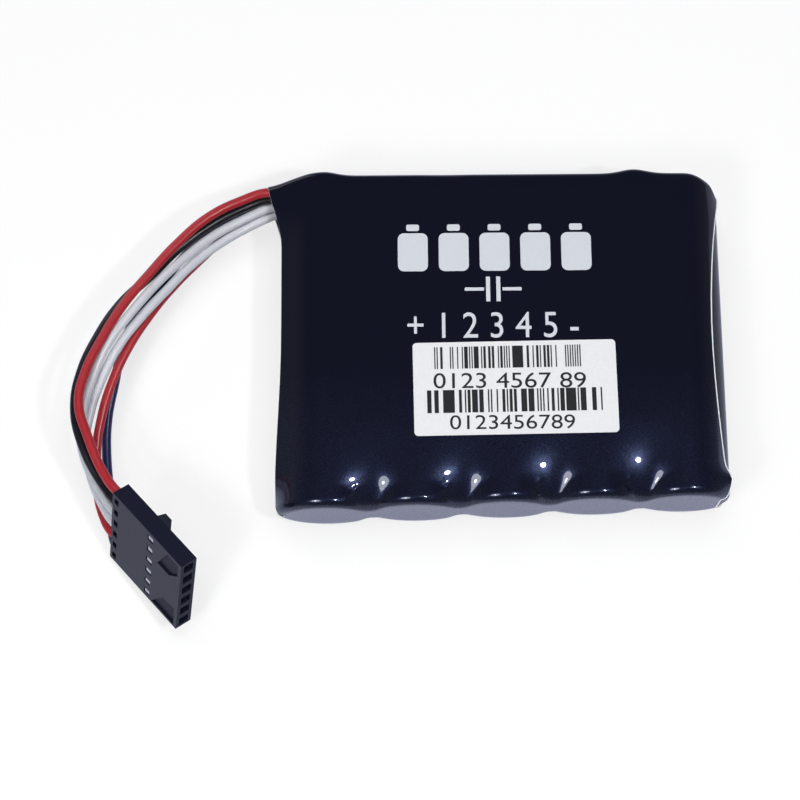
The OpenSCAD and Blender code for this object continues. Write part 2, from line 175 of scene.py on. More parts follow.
# %% Routes of the wires, in mm, from the board to the connector
wire_d = 1.4
routes = {
    "red_wire": [
        (-31, 22.2, 10.9), (-34.5, 23.25, 10.2), (-38.9, 21.9, 10.2), (-43.6, 19.3, 10.5),
        (-48.0, 15.2, 10.8), (-52.0, 10.4, 11.1), (-55.9, 5.2, 11.5), (-58.8, -0.1, 11.9),
        (-60.8, -4.7, 12.2), (-61.7, -9.6, 12.4), (-60.3, -14.5, 12.4)],
    "black_wire": [
        (-31, 22.2, 9.3), (-34.5, 22.65, 8.85), (-38.7, 21.2, 8.9), (-43.3, 18.7, 8.9),
        (-47.9, 15.1, 9.0), (-52.0, 10.6, 9.5), (-56.5, 5.9, 10.0), (-59.8, 0.4, 10.4),
        (-61.8, -4.6, 10.6), (-62.5, -9.4, 10.8), (-61.6, -14.5, 10.7)],
    "white_wire_1": [
        (-31, 22.2, 7.7), (-34.5, 21.7, 7.8), (-38.3, 20.0, 7.8), (-42.9, 17.2, 8.3),
        (-46.9, 13.6, 9.2), (-50.6, 9.6, 10.2), (-54.5, 4.6, 10.9), (-58.1, -0.5, 10.7),
        (-60.2, -5.3, 10.0), (-61.4, -9.7, 9.4), (-61.8, -14.3, 8.8)],
    "white_wire_2": [
        (-31, 22.2, 6.1), (-34.5, 20.7, 6.7), (-38.1, 18.9, 6.8), (-42.2, 16.2, 7.3),
        (-46.2, 12.7, 8.0), (-49.9, 8.4, 8.7), (-53.4, 4.2, 9.2), (-56.7, -0.4, 9.2),
        (-59.1, -5.2, 8.5), (-60.7, -9.8, 7.6), (-61.3, -14.6, 6.9)],
    "red_wire_2": [
        (-31, 22.2, 2.7), (-34.5, 21.3, 5.35), (-37.9, 20.1, 5.2), (-42.0, 17.3, 5.6),
        (-45.6, 13.6, 6.3), (-49.3, 9.3, 7.0), (-52.3, 5.1, 7.5), (-55.3, 0.1, 7.7),
        (-57.7, -5.3, 7.3), (-59.2, -10.5, 6.6), (-59.9, -15.8, 5.5)],
    "blue_wire": [
        (-31, 22.2, 4.5), (-34.5, 22.9, 6.2), (-38.5, 21.5, 6.4), (-43.0, 18.8, 6.3),
        (-47.1, 14.9, 6.7), (-50.7, 10.1, 7.2), (-53.7, 6.1, 7.1), (-56.3, 1.2, 6.1),
        (-57.6, -4.9, 5.3), (-58.6, -10.2, 4.4), (-58.7, -15.8, 3.4), (-57.9, -23.1, 2.3)]}

# The last stretch runs straight into a cavity: the red wire takes the topmost one.
# The blue wire comes up from the ground and turns in at the last moment.
straight_run = {"blue_wire": 0.6}
for (name, route), contact_z in zip(routes.items(), reversed(contacts)):
    before = straight_run.get(name, 3)
    route += [in_housing(-half_l - before, 0, contact_z), in_housing(crimp_x, 0, contact_z)]
print({name: len(route) for name, route in routes.items()}, "points")

# %% Make the wires
wires = {}
for name, route in routes.items():
    curve = bpy.data.curves.new(name + "_skin", "CURVE")
    curve.dimensions = "3D"
    curve.resolution_u = 8
    curve.bevel_depth = 1      # times each point's radius, which gives the real size
    curve.bevel_resolution = 6
    curve.use_fill_caps = True
    spline = curve.splines.new("BEZIER")
    spline.bezier_points.add(len(route) - 1)
    for point, place_mm in zip(spline.bezier_points, route):
        point.co = Vector(place_mm) * MM
        point.handle_left_type = point.handle_right_type = "AUTO"
        point.radius = wire_d / 2 * MM
    wire = bpy.data.objects.new(name + "_skin", curve)
    bpy.context.scene.collection.objects.link(wire)
    wires[name] = wire
print(len(wires), "wires,", wire_d, "mm across")

# %% [markdown]
# ## Connector housing
# A crimp housing is moulded in nylon, with a cavity for each contact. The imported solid
# has square mouths and shallow finger recesses; close up they are wider and slanted,
# and the latch rib stands on the far side. A bevelled box would lose the cavities, so
# the body and its cuts are laid out as prisms in the housing's own frame, and exact
# Booleans take the cuts away.

# %% Helpers for prisms in the housing's frame
def prism(sheet, outline, low, high, axis):
    """Adds a prism to a mesh: an outline in two axes, drawn along the third."""
    def corner(p, level):
        """A new vertex: the outline's point at this level of the third axis."""
        point = list(p)
        point.insert(axis, level)
        return sheet.verts.new(in_housing(*point) * MM)
    rings = [[corner(p, level) for p in outline] for level in (low, high)]
    sheet.faces.new(rings[0])
    sheet.faces.new(rings[1])
    for k in range(len(outline)):
        n = (k + 1) % len(outline)
        sheet.faces.new((rings[0][k], rings[0][n], rings[1][n], rings[1][k]))


def box_of(a0, a1, b0, b1):
    """The outline of a box, from a0 to a1 in its first axis and b0 to b1 in the next."""
    return [(a0, b0), (a1, b0), (a1, b1), (a0, b1)]


def solid_of(name, prisms):
    """One object from a list of prisms, with its faces turned outwards."""
    sheet = bmesh.new()
    for outline, low, high, axis in prisms:
        prism(sheet, outline, low, high, axis)
    bmesh.ops.recalc_face_normals(sheet, faces=sheet.faces)
    made = bpy.data.objects.new(name, bpy.data.meshes.new(name))
    sheet.to_mesh(made.data)
    sheet.free()
    bpy.context.scene.collection.objects.link(made)
    return made


print("a box outline:", box_of(0, 2, 0, 1))

# %% Lay out the body and its latch rib: outline, from, to, axis
AXIS_Y, AXIS_Z = 1, 2
housing_t, rib_high, rib_long = 2.7, 1.15, 2.6
half_t, half_w = housing_t / 2, pitch * ways / 2
root_of_rib = half_t - 0.1     # the rib starts a little inside, so the two parts merge
top_of_rib = half_t + rib_high

body = [(box_of(-half_l, half_l, -half_t, half_t), -half_w, half_w, AXIS_Z)]
rib = [([(2.1, root_of_rib), (0.7, top_of_rib), (-0.7, top_of_rib), (-1.1, root_of_rib)],
        half_w - rib_long, half_w, AXIS_Z)]
print(f"housing {housing_l} x {2 * half_w:.2f} x {housing_t} mm")

# %% Lay out the cuts
cavity = 1.9                   # each crimp sits in a square bore this wide
r = cavity / 2
mouth_r, mouth_deep = 0.78, 1.6
skin = -r + 0.2                # cuts through the near face end here, inside the bore
outside = -half_t - 1

cavities = [(box_of(-half_l - 1, half_l - 1.4, z - r, z + r), -r, r, AXIS_Y)
            for z in contacts]
mouths = [(box_of(half_l - mouth_deep, half_l + 1, z - mouth_r, z + mouth_r),
           -0.8, 0.8, AXIS_Y) for z in contacts]
windows = [(box_of(0.3, 1.6, z - 0.55, z + 0.55), outside, skin, AXIS_Y)
           for z in contacts]
notches = [(box_of(0.5 - half_l, 1.4 - half_l, z - 0.6, z + 0.6), outside, skin, AXIS_Y)
           for z in contacts]

grip_deep = 0.3                # a fingernail's hold near each end of the mating edge
grip_outlines = ([(2.8, 2.9), (5.5, 2.9), (7.3, 4.6), (7.3, 7.0), (4.8, 7.0)],
                 [(2.1, -7.2), (4.6, -3.6), (7.3, -3.3), (7.3, -7.2)])
finger_grips = [(outline, outside, grip_deep - half_t, AXIS_Y) for outline in grip_outlines]
print(len(cavities + mouths + windows + notches + finger_grips), "cuts")

# %% Cut the housing
housing = solid_of("moulded_housing", body)
tools = [(solid_of("rib", rib), "UNION"),
         (solid_of("cavities", cavities), "DIFFERENCE"),
         (solid_of("mouths", mouths), "DIFFERENCE"),
         (solid_of("windows", windows + notches), "DIFFERENCE"),
         (solid_of("finger_grips", finger_grips), "DIFFERENCE")]
for tool, how in tools:
    step = housing.modifiers.new(tool.name, "BOOLEAN")
    step.operation, step.object, step.solver = how, tool, "EXACT"
whole = bpy.data.meshes.new_from_object(
    housing.evaluated_get(bpy.context.evaluated_depsgraph_get()))
housing.modifiers.clear()
housing.data = whole
for tool, how in tools:
    bpy.data.objects.remove(tool)
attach(housing, "root")
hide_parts("connector_housing")
print("housing:", len(whole.polygons), "faces")

# %% Attach the wires to the root and hide the imported ones
for place, (name, route) in enumerate(routes.items()):
    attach(wires[name], "root")
    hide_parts(name)

# %% [markdown]
# ## Shrink sleeve
# The sleeve is a PVC tube, cut to length, pulled over the row from one side and
# shrunk with hot air, so it follows every cell at the front and bridges the gaps
# further back. Its two ends are the open flanks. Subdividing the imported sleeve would
# round its folds away, so the film is laid out again by its rule, four times as fine:
# a grid of columns along the row, each of them one loop round the pack.

# %% Sizes of the sleeve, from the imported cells
cells = [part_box(f"cell_jacket_{k}") for k in range(1, 6)]
cell_x = [(low[0] + high[0]) / 2 / MM for low, high in cells]
front_of_cell = [low[1] / MM for low, high in cells]
cell_r = (cells[0][1][2] - cells[0][0][2]) / 2 / MM
axis_z = (cells[0][1][2] + cells[0][0][2]) / 2 / MM
cell_pitch = cell_x[1] - cell_x[0]
cell_step = front_of_cell[1] - front_of_cell[0]
half_row = cell_x[-1]
film_r = axis_z                # the film's outside rests on the ground, under a cell
film_top = 2 * film_r
film_t = 0.15
film_gap = film_r - cell_r - film_t
print(f"cells {2 * cell_r:.1f} mm across, {cell_pitch:.2f} mm apart")


# %% Helpers for soft changes
def mix(a, b, t):
    """From a to b as t goes from 0 to 1."""
    return a + (b - a) * t


def smooth(t):
    """From 0 to 1 with a soft start and end, and level outside."""
    t = min(max(t, 0), 1)
    return t * t * (3 - 2 * t)


def bell(t):
    """A round hump, 1 high, that fades out about 2 to each side."""
    return math.exp(-t * t)


print("smooth:", [round(smooth(t / 4), 2) for t in range(5)])

# %% [markdown]
# ## How the flanks lie
# At each end of the row the film hugs the end cell and stops at a cut edge. The edge
# stands off where the film was drawn in least, and at the back left corner it opens
# into a mouth for the wires. Each of these could be sculpted by hand, but a few short
# functions of the depth y keep the film smooth and let every width be changed.

# %% Flanks: reach of the film, ears of the cut edge, wire mouth
left_reach, right_reach = 78, 40   # degrees from a crown to the cut edges, at mid depth
flap_a = math.radians(38)          # the left lip leaves its cell here and runs straight
mouth_x = 8.7                      # mm from the end cell's axis to the mouth's edge
half_deep = 25


def reach(side, y):
    """How far round its cell the film of a flank reaches, in radians.

    It reaches further round towards the front and the back, most at the back right.
    """
    e = (abs(y) / half_deep) ** 2
    if side < 0:
        return math.radians(left_reach + 5 * e)
    return math.radians(right_reach + (34 if y > 0 else 24) * e + 6 * smooth((y - 18) / 5))


def mouth(side, y):
    """How far the flank has turned into the wire mouth: only at the back left."""
    return smooth((y - 14) / 11) ** 1.3 if side < 0 else 0


def ear(side, y):
    """How far the cut edge stands off the cell, in mm: most near the front."""
    if side < 0:
        return 0.68 * smooth(-y / 22)
    return 0.65 * bell((y + 21.4) / 1.4) + 0.15 * bell((y - 20) / 4)


def left_lip(y, t, inset):
    """The left lip hugs its cell as far as flap_a, then it is a straight flap."""
    r, whole = film_r - inset, reach(-1, y)
    a = min(whole * t, flap_a)
    wide = r * math.sin(whole) + ear(-1, y)
    far = (wide - r * math.sin(flap_a)) / math.cos(flap_a)
    return a, far * max((whole * t - flap_a) / (whole - flap_a), 0)


def flap_share(y):
    """Close to the front there is no flap, because the front holds the film in."""
    return smooth((y + 24.3) / 5)


for side, word in ((-1, "left"), (1, "right")):
    print(word, "reach:", [round(math.degrees(reach(side, y))) for y in (-24, 0, 20)])


# %% Back: how high it stands, how far out, and how softly it bends
back_r, loose_r, back_h = 1.2, 3.2, 6.3


def back_drop(x):
    """How far down the back bend reaches: it leans on the left, and is tight elsewhere."""
    return mix(back_r, loose_r, smooth((-4 - x) / 9) * smooth((x + 33) / 3.5))


def crown_h(y):
    """Height of a crown over the cells' axes: a little lower at the back."""
    return mix(film_r, back_h, smooth((y - 20) / 4))


def back_y(x):
    """The back edge: two bulges near its ends, and rounded corners."""
    return (25.15 + 0.6 * bell((x + 26.3) / 2.4) + 0.65 * bell((x - 19.8) / 2.6)
            - 1.15 * smooth((-27.5 - x) / 5) - smooth((x - 27) / 4)
            - 1.3 * smooth((x - 30) / 2.1))


print("back edge at y =", [round(back_y(x), 1) for x in (-30, -20, 0, 20, 30)], "mm")

# %% Columns: a column is (cell, place, flank?), and place runs from -1 to 1
fold_a = math.asin(cell_pitch / 2 / film_r)    # from a crown to the middle of a fold


def column_x(column, y, inset=0):
    """Where a column stands along the row, at depth y."""
    cell, place, flank = column
    if not flank:
        return cell_x[cell] + film_r * math.sin(fold_a * place)
    side, t = (-1 if place < 0 else 1), abs(place)
    hug = (film_r - inset) * math.sin(reach(side, y) * t) + ear(side, y) * t ** 3
    if side < 0:
        a, far = left_lip(y, t, inset)
        flap = (film_r - inset) * math.sin(a) + far * math.cos(a)
        hug = mix(hug, flap, flap_share(y))
    return side * (half_row + mix(hug, mouth_x * t, mouth(side, y)))


def flank_h(place, y, up, inset=0):
    """Height of a flank's column over or under the cells' axes, at depth y.

    Where the film hugs the cell it's an arc, and at the wire mouth two loose lips.
    """
    side, t = (-1 if place < 0 else 1), abs(place)
    r = mix(crown_h(y), film_r, smooth(2 * t)) - inset
    if side < 0:
        a, far = left_lip(y, t, inset)
        flap = r * math.cos(a) - far * math.sin(a)
        hug = mix(r * math.cos(reach(side, y) * t), flap, flap_share(y))
    else:
        hug = r * math.cos(reach(side, y) * t) + 1.2 * ear(side, y) * t ** 3
    loose = mix(crown_h(y), 4.85, t ** 1.6) if up > 0 else mix(crown_h(y), 3.3, t ** 1.9)
    return mix(hug, loose, mouth(side, y))


print("cut edges at x =", [round(column_x((c, p, True), 0), 1)
                           for c, p in ((0, -1), (4, 1))], "mm")

# %% [markdown]
# ## How the folds run
# Between two cells the film is free. At the front it is drawn down deep, in a hollow
# arc that meets each cell in a tangent, and it lifts to a flat bridge some eleven
# millimetres behind. The right shoulder of each cell has a small gathered ridge. Cloth
# simulation could find such a shape, but it would round off the sharp start of a fold,
# and a rule gives the same film every time.

# %% Folds: section across two cells, ridge, and how a fold fades
fold_len, valley_h = 11.5, 3.4
fold_fade = (3.7, 3.9, 4.3, 4.3)   # mm over which each fold fades behind the front
ridge_high, ridge_wide = 0.2, 0.34


def bridge_h(d, dip):
    """Film stretched over two cells, d from a crown, where it sags by dip between.

    A deep fold is an arc on each cell and a hollow one between, a shallow one a wave.
    """
    half, lowest = cell_pitch / 2, film_r - max(dip, 0.002)
    r = (lowest ** 2 + half ** 2 - film_r ** 2) / (2 * (film_r - lowest))
    cell = math.sqrt(film_r ** 2 - d ** 2)
    deep = cell if d * (film_r + r) < film_r * half else (
        lowest + r - math.sqrt(r ** 2 - (half - d) ** 2))
    shallow = film_r - dip * (1 - math.cos(math.pi * d / half)) / 2
    return max(mix(shallow, deep, smooth((dip - 0.8) / 2.2)), cell)


def crease(place, across_cell, run):
    """A small ridge where the film gathers, on the right shoulder of each cell."""
    if place < 0:
        return 0
    middle = 1.6 + 0.8 * (across_cell - 3)
    return (ridge_high * bell((run - middle) / ridge_wide)
            * smooth((across_cell - 2.7) / 0.4) * smooth((5 - across_cell) / 0.4))


def fold_share(zone, run, fold):
    """How much of a fold's sag is left, run mm behind the front: none on the top."""
    if zone in ("front", "rim", "fold"):
        length = fold_fade[min(max(fold, 0), 3)]
        end = math.exp(-(fold_len / length) ** 1.2)
        return (math.exp(-(run / length) ** 1.2) - end) / (1 - end)
    return 0


print("a fold sags by", [round((film_r - valley_h) * fold_share("fold", run, 0), 1)
                         for run in (0, 2, 4, 8)], "mm at 0, 2, 4 and 8 mm")

# %% [markdown]
# ## One point of the film
# A column and a station name one point. The stations run from the middle of the front
# over the rim, the folds, the top and the back bend to the middle of the back, and the
# underside mirrors them. Round the rims the film draws in: towards the axis of an end
# cell, and straight down between the cells and at the wire mouth.

# %% A point from its column and station, where a station is (zone, place)
rim_r = 1.3


def film_point(column, station, up):
    """A point of the outer face in mm: up is 1 on the top half and -1 below."""
    cell, place, flank = column
    zone, v = station
    side = -1 if place < 0 else 1
    between = 0 if flank else side * 0.5 * cell_step * smooth(2 * abs(place) - 1)
    front = front_of_cell[cell] + between - film_gap - film_t
    rest_x = (side * (half_row + 6 * abs(place)) if flank
              else cell_x[cell] + film_r * math.sin(fold_a * place))
    behind, drop = back_y(rest_x), back_drop(rest_x)
    across_cell = film_r * math.sin(fold_a * abs(place))
    y = {"front": front, "rim": front + rim_r * (1 - math.cos(v)),
         "fold": front + rim_r + (fold_len - rim_r) * v, "top": v,
         "bend": behind - back_r * (1 - math.cos(v)), "back": behind}[zone]
    # Where the bend is loose, it also bulges out by this much
    y += 0.35 * (drop - back_r) / 2 * (zone in ("bend", "back"))
    inset = {"front": rim_r, "rim": rim_r * (1 - math.sin(v)), "fold": 0, "top": 0,
             "bend": drop * (1 - math.sin(v)), "back": drop}[zone]
    level = v if zone in ("front", "back") else 1
    if flank and (side > 0 or y < 0):
        h = flank_h(place, y, up, inset)
        x = column_x(column, y, inset)
    else:
        run = max(y - front, 0)
        fade = fold_share(zone, run, cell if place > 0 else cell - 1)
        high = (flank_h(place, y, up) if flank else crown_h(y) if not fade else
                bridge_h(across_cell, (film_r - valley_h) * fade))
        ridge = crease(place, across_cell, run) if fade and not flank and cell < 4 else 0
        h = high - inset + ridge
        x = column_x(column, y)
    return Vector((x, y, axis_z + up * h * level))


crown = film_point((0, 0, False), ("top", 0), 1)
print("crown of the first cell:", [round(c, 1) for c in crown], "mm")

# %% [markdown]
# ## The film as one closed sheet
# The outer face is the grid of points, and the inner face lies one thickness in, along
# the surface's normal. A Solidify modifier would do the same, but here the cut edges
# need a face and a finish of their own, so the two faces and both rims are laid by
# hand. Columns and stations lie closer where the film bends more.

# %% Lay out the grid
def steps(first, last, n):
    """n + 1 even steps from first to last."""
    return [mix(first, last, k / n) for k in range(n + 1)]


across, flank_n = 48, 16
columns = [(0, -t, True) for t in steps(1, 1 / flank_n, flank_n - 1)]
for cell in range(5):
    places = steps(-1, 1, across)
    columns += [(cell, p, False) for p in places
                if (cell > 0 and p > -1 + 1e-9) or (cell == 0 and p > -1e-9)
                if cell < 4 or p < 1e-9]
columns += [(4, t, True) for t in steps(1 / flank_n, 1, flank_n - 1)]

quarter = math.pi / 2
stations = ([("front", v) for v in steps(0, 1, 4)[:-1]]
            + [("rim", a) for a in steps(0, quarter, 10)]
            + [("fold", v ** 1.4) for v in steps(0, 1, 34)[1:]]
            + [("top", y) for y in (-12.5, -10, -6, -2, 2, 6, 10, 13, 14.7, 16, 17.2,
                                    18.3, 19.4, 20.4, 21.4)]
            + [("bend", a) for a in steps(quarter, 0, 10)]
            + [("back", v) for v in steps(1, 0, 4)[1:]])
loops = [[film_point(c, s, 1) for s in stations]
         + [film_point(c, s, -1) for s in stations[-2:0:-1]] for c in columns]
count, around = len(loops), len(loops[0])
print(count, "columns of", around, "points")


# %% Make the sheet with its two faces and its cut rims
def inside(j, k):
    """The point of the inner face under point k of column j."""
    along = loops[min(j + 1, count - 1)][k] - loops[max(j - 1, 0)][k]
    loop_wise = loops[j][(k + 1) % around] - loops[j][k - 1]
    return loops[j][k] - film_t * along.cross(loop_wise).normalized()


sheet = bmesh.new()
outer = [[sheet.verts.new(p * MM) for p in loop] for loop in loops]
inner = [[sheet.verts.new(inside(j, k) * MM) for k in range(around)] for j in range(count)]
for j in range(count - 1):
    for k in range(around):
        n = (k + 1) % around
        sheet.faces.new((outer[j][k], outer[j + 1][k], outer[j + 1][n], outer[j][n]))
        sheet.faces.new((inner[j][k], inner[j][n], inner[j + 1][n], inner[j + 1][k]))
for j, step in ((0, 1), (count - 1, -1)):
    for k in range(around):
        n = (k + step) % around
        cut = sheet.faces.new((outer[j][n], inner[j][n], inner[j][k], outer[j][k]))
        cut.material_index = 1
        for edge in cut.edges:
            edge.smooth = False
for face in sheet.faces:
    face.smooth = True

film = bpy.data.objects.new("sleeve_film", bpy.data.meshes.new("sleeve_film"))
sheet.to_mesh(film.data)
sheet.free()
bpy.context.scene.collection.objects.link(film)
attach(film, "root")
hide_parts("shrink_sleeve")
print("film:", len(film.data.polygons), "faces")

# %% [markdown]
# ## Bead along the cut edges
# Hot air shrinks the free edge of the film most, so it curls and thickens into a fine
# bead. It could be modelled into the grid, but a bead follows a line, and that is what
# Curve to Mesh does: the line is the edge of the film, the profile a small circle. Its
# near-white colour is a painted highlight: one thin bright line down each flank.

# %% A helper that grows a piece with Geometry Nodes and bakes it
def new_tree(name, **sockets):
    """A geometry tree with these inputs and one output."""
    tree = bpy.data.node_groups.new(name, "GeometryNodeTree")
    for label, kind in sockets.items():
        tree.interface.new_socket(label, in_out="INPUT", socket_type=f"NodeSocket{kind}")
    tree.interface.new_socket("Geometry", in_out="OUTPUT", socket_type="NodeSocketGeometry")
    return tree, add(tree, "NodeGroupInput").outputs


def close_tree(tree, geometry, finish):
    """Realizes the instances, sets the material and links the output."""
    solid = add(tree, "GeometryNodeRealizeInstances", {"Geometry": geometry})
    done = add(tree, "GeometryNodeSetMaterial", {"Geometry": solid.outputs[0],
                                                 "Material": finish})
    add(tree, "NodeGroupOutput", {"Geometry": done.outputs[0]})


def grow(name, tree, values, start=None):
    """Runs the tree on a mesh, keeps the result and drops the modifier."""
    piece = bpy.data.objects.new(name, start or bpy.data.meshes.new(name))
    bpy.context.scene.collection.objects.link(piece)
    modifier = piece.modifiers.new(name, "NODES")
    modifier.node_group = tree
    for item in tree.interface.items_tree:
        if item.in_out == "INPUT" and item.name in values:
            modifier[item.identifier] = values[item.name]
    piece.update_tag()
    done = piece.evaluated_get(bpy.context.evaluated_depsgraph_get())
    baked = bpy.data.meshes.new_from_object(done)
    piece.modifiers.remove(modifier)
    piece.data = baked
    print(name, len(baked.polygons), "faces")
    return piece


# %% Grow the two beads
# The bead is painted near white, a painted highlight that draws a thin bright line along
# each cut edge.
bead_highlight, tree, shader = material("painted_highlight_bead")
set_values(shader, Base_Color=linear("#F2F6F8"), Roughness=0.3, IOR=1.54)
grain(tree, shader, 0.3, 0.008)

bead_tree, given = new_tree("edge_bead", Geometry="Geometry", Radius="Float")
line = add(bead_tree, "GeometryNodeMeshToCurve", {"Mesh": given["Geometry"]})
ring = add(bead_tree, "GeometryNodeCurvePrimitiveCircle",
           {"Resolution": 10, "Radius": given["Radius"]})
tube = add(bead_tree, "GeometryNodeCurveToMesh", {"Curve": line.outputs[0],
                                                  "Profile Curve": ring.outputs[0]})
close_tree(bead_tree, tube.outputs[0], bead_highlight)

for name, j, radius in (("left", 0, 0.05), ("right", count - 1, 0.15)):
    edge = [(loops[j][k] + inside(j, k)) / 2 * MM for k in range(around)]
    start = bpy.data.meshes.new(f"{name}_edge")
    start.from_pydata(edge, [(k, (k + 1) % around) for k in range(around)], [])
    bead = grow(f"{name}_bead", bead_tree, {"Radius": radius * MM}, start)
    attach(bead, "root")

# %% [markdown]
# ## Finish of the film
# The sleeve is PVC, blown as a tube, dyed blue-black and shrunk with hot air, so it has
# a sharp gloss. Under the gloss lies a bluish haze of fine scuffs. It shows only as a
# speckled halo round a highlight, most near the front, where the pack gets rubbed. A
# single rough surface would blur the highlight too, so a sharp clear coat goes over a
# blurred base, and noise sets how strongly the base reflects.

# %% Shrink film
scuff = 0.25                       # mm; real scuffs are finer and wouldn't show
rub_start, rub_full = -4, -17      # mm along y: the haze grows from here to here

film_pvc, tree, shader = material("shrink_film_pvc")
set_values(shader, Base_Color=linear("#121320"), Roughness=0.3, IOR=1.6,
           Specular_Tint=linear("#98ACF0"), Coat_Weight=1.0, Coat_Roughness=0.03,
           Coat_IOR=1.46)
spot = add(tree, "ShaderNodeTexCoord").outputs["Object"]
depth = add(tree, "ShaderNodeSeparateXYZ", {0: spot}).outputs["Y"]
rubbed = add(tree, "ShaderNodeMapRange",
             {"Value": depth, "From Min": rub_start * MM, "From Max": rub_full * MM,
              "To Max": 0.75}, interpolation_type="SMOOTHSTEP")
drawn_out = add(tree, "ShaderNodeMapping", {"Vector": spot, "Rotation": (0, 0, 0.6),
                                            "Scale": (1, 3, 1)})
scuffs = add(tree, "ShaderNodeTexNoise", {"Vector": drawn_out.outputs[0],
                                          "Scale": 1 / (scuff * MM), "Detail": 3})
specks = add(tree, "ShaderNodeMapRange", {"Value": scuffs.outputs["Fac"], "From Min": 0.4,
                                          "From Max": 0.66, "To Min": 0.15})
haze = add(tree, "ShaderNodeMath", {0: rubbed.outputs[0], 1: specks.outputs[0]},
           operation="MULTIPLY")
tree.links.new(haze.outputs[0], shader.inputs["Specular IOR Level"])
print(film_pvc.name, "has", len(tree.nodes), "nodes")

# %% Cut face of the film: painted a paler grey, a painted highlight along the thin cut edge
cut_face_highlight, tree, shader = material("cut_film_edge_highlight")
set_values(shader, Base_Color=linear("#4A4E60"), Roughness=0.25, IOR=1.54)
grain(tree, shader, 0.2, 0.005)
film.data.materials.append(film_pvc)
film.data.materials.append(cut_face_highlight)
print("film finishes:", [m.name for m in film.data.materials])

# %% [markdown]
# ## Label
# The label is thermal paper under a coating: nearly white, satin, with the faint cloud
# of its fibres. A plain colour would look like plastic. One noise gives the relief, and
# the same noise lets the colour wander between two near shades, so that the two agree.
# The smaller pieces below get their finish in the same way.

# %% Label: coated thermal paper
def wander(tree, shader, noise, dark, light):
    """The base colour wanders between two sRGB hex shades with the grain's noise."""
    shade = add(tree, "ShaderNodeMix", {0: noise.outputs["Fac"], 6: linear(dark),
                                        7: linear(light)}, data_type="RGBA")
    tree.links.new(shade.outputs[2], shader.inputs["Base Color"])


label_paper, tree, shader = material("coated_label_paper")
set_values(shader, Roughness=0.42, IOR=1.5)
wander(tree, shader, grain(tree, shader, 0.4, 0.004), "#DDDEDF", "#E9EAEA")
print(label_paper.name, "is ready")

# %% [markdown]
# ## Insulation of the wires
# The skins are soft PVC, extruded round the strands. They are glossy, and the strands
# press through as a slight waviness. A wave pattern along the wire would need a UV map,
# and noise as long as the lay of the strands looks the same at this size.

# %% Wires: extruded PVC skins
insulation = {}
for colour, dark, light in (("red", "#A02028", "#B22A30"),
                            ("black", "#121119", "#19181F"),
                            ("white", "#C6C8CF", "#D4D6DC"),
                            ("blue", "#1A1F49", "#212757")):
    insulation[colour], tree, shader = material(f"{colour}_pvc_insulation")
    set_values(shader, Roughness=0.3, IOR=1.53)
    wander(tree, shader, grain(tree, shader, 0.8, 0.01), dark, light)
for name, wire in wires.items():
    wire.data.materials.append(insulation[name.split("_")[0]])
print("insulation:", ", ".join(insulation))

# %% [markdown]
# ## Connector finish
# The housing is nylon, moulded in black. Its broad outer faces are painted a little lighter
# and more reflective, a painted highlight, and its narrow faces and recess floors darker,
# as painted shade.
# Two materials would need the faces picked out after the cuts. The distance from the
# housing's middle plane tells the faces apart by itself, so one material does for both.

# %% Connector: moulded nylon
nylon, tree, shader = material("moulded_nylon")
set_values(shader, Roughness=0.4, IOR=1.53)
grain(tree, shader, 0.25, 0.006)
spot = add(tree, "ShaderNodeTexCoord").outputs["Object"]
own = add(tree, "ShaderNodeMapping", {"Vector": spot, "Location": housing_at * MM,
                                      "Rotation": housing_turn.to_euler()},
          vector_type="TEXTURE")
thick = add(tree, "ShaderNodeSeparateXYZ", {0: own.outputs[0]}).outputs["Y"]
side_of = add(tree, "ShaderNodeMath", {0: thick}, operation="ABSOLUTE")
just_inside = (housing_t / 2 - 0.03) * MM
lit_outer_face = add(tree, "ShaderNodeMath", {0: side_of.outputs[0], 1: just_inside},
             operation="GREATER_THAN")
# Painted shade: the narrow faces and the recess floors get the darker colour, the broad
# outer faces the lighter one.
shade = add(tree, "ShaderNodeMix", {0: lit_outer_face.outputs[0], 6: linear("#1A1C2C"),
                                    7: linear("#1F212C")}, data_type="RGBA")
tree.links.new(shade.outputs[2], shader.inputs["Base Color"])
# Painted sheen: the broad faces reflect more strongly than the narrow faces and recess
# floors, standing in for the light on them.
shaded_face_level, lit_face_level = 0.12, 0.34
sheen = add(tree, "ShaderNodeMath",
            {0: lit_outer_face.outputs[0], 1: lit_face_level - shaded_face_level, 2: shaded_face_level},
            operation="MULTIPLY_ADD")
tree.links.new(sheen.outputs[0], shader.inputs["Specular IOR Level"])
housing.data.materials.append(nylon)
print(nylon.name, "has", len(tree.nodes), "nodes")

# %% [markdown]
# ## Finishes that show only at the flanks
# Inside the open flanks lie the cells in their own thin sleeves, and behind them the
# board, the joints and a card. Little of them shows, but a look through the wire mouth
# reaches them, so each still gets its own finish. All of them are made as the label's.

# %% Cell sleeves: polyester film with a mirror gloss, a little uneven over the can
jacket, tree, shader = material("cell_sleeve_pet")
set_values(shader, Roughness=0.1, IOR=1.4)
wander(tree, shader, grain(tree, shader, 1.2, 0.002), "#0C0F19", "#11141F")
print(jacket.name, "is ready")

# %% Metals: satin drawn aluminium, smooth lumpy solder, bright plated bronze
metals = {}
for name, roughness, size, height, dark, light in (
        ("drawn_aluminium", 0.32, 0.2, 0.002, "#BFC1C3", "#CDCFD1"),
        ("tinned_copper", 0.28, 0.5, 0.01, "#C0C1C4", "#D1D2D3"),
        ("tin_plated_bronze", 0.22, 0.3, 0.002, "#D3D2CC", "#E1E0DB")):
    metals[name], tree, shader = material(name)
    set_values(shader, Metallic=1.0, Roughness=roughness)
    wander(tree, shader, grain(tree, shader, size, height), dark, light)
aluminium, tin, bronze = metals.values()
print("metals:", ", ".join(metals))

